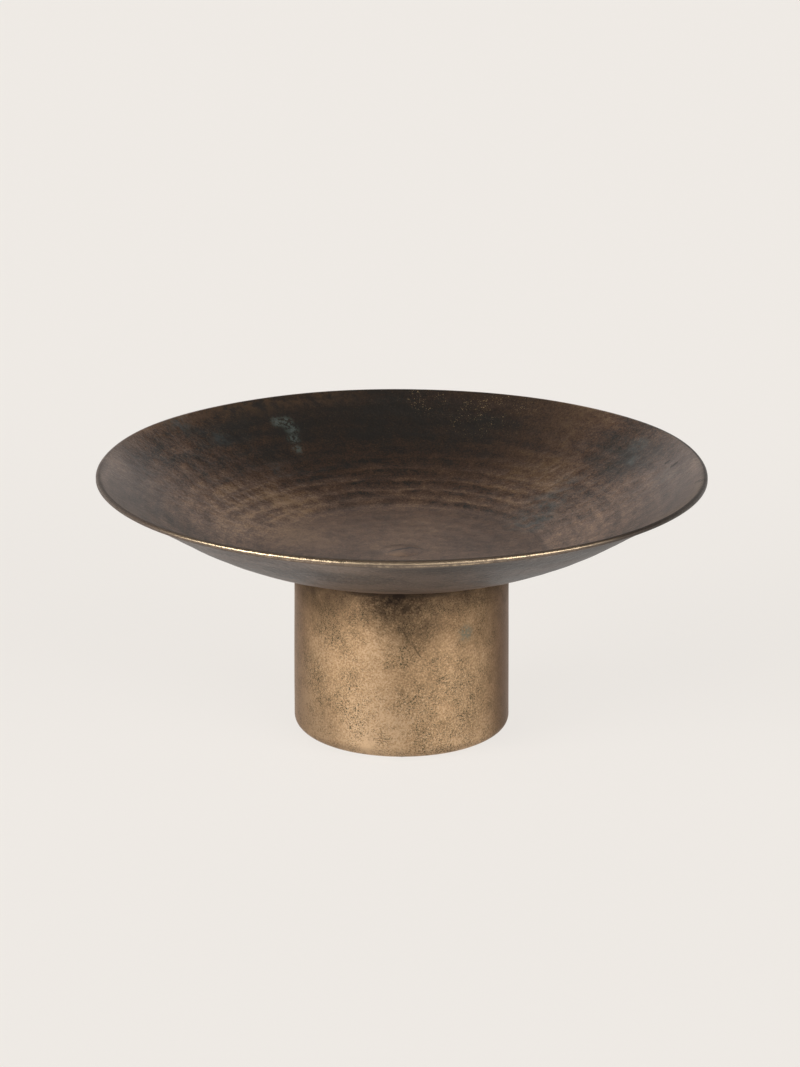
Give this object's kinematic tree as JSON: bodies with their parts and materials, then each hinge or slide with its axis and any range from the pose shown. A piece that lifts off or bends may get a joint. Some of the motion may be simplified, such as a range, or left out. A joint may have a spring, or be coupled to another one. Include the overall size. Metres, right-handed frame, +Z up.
{
  "type": "footed bowl",
  "caption": "Shallow hammered copper dish with a rolled, wired rim, bolted onto a round brass-toned pedestal drum that stands on felt pads.",
  "frame": {"origin": "on the bowl's axis, at the level of the table that the felt pads stand on", "axes": "+Z up along the bowl's axis of revolution; the bowl is round, so X and Y are the directions of the felt pads"},
  "size_m": [0.38, 0.38, 0.17],
  "materials": {
    "dish_copper": "hammered copper with a dark brown patina, worn bright along the rim",
    "wire_copper": "drawn copper wire",
    "bolt_bronze": "hammered bronze with the dish's dark patina",
    "plate_brass": "plain sheet brass, dull inside",
    "drum_brass": "satin antique brass with fine dark speckle",
    "fastener_steel": "zinc-plated steel",
    "pad_felt": "dark pressed felt"
  },
  "bodies": {
    "root": {"dish": "dish_copper", "rim_wire": "wire_copper", "center_bolt": "bolt_bronze", "backing_plate": "plate_brass", "pedestal_drum": "drum_brass", "top_plate": "plate_brass", "plain_washer": "fastener_steel", "spring_washer": "fastener_steel", "hex_nut": "fastener_steel", "felt_pad_1": "pad_felt", "felt_pad_2": "pad_felt", "felt_pad_3": "pad_felt", "felt_pad_4": "pad_felt"}
  },
  "joints": []
}
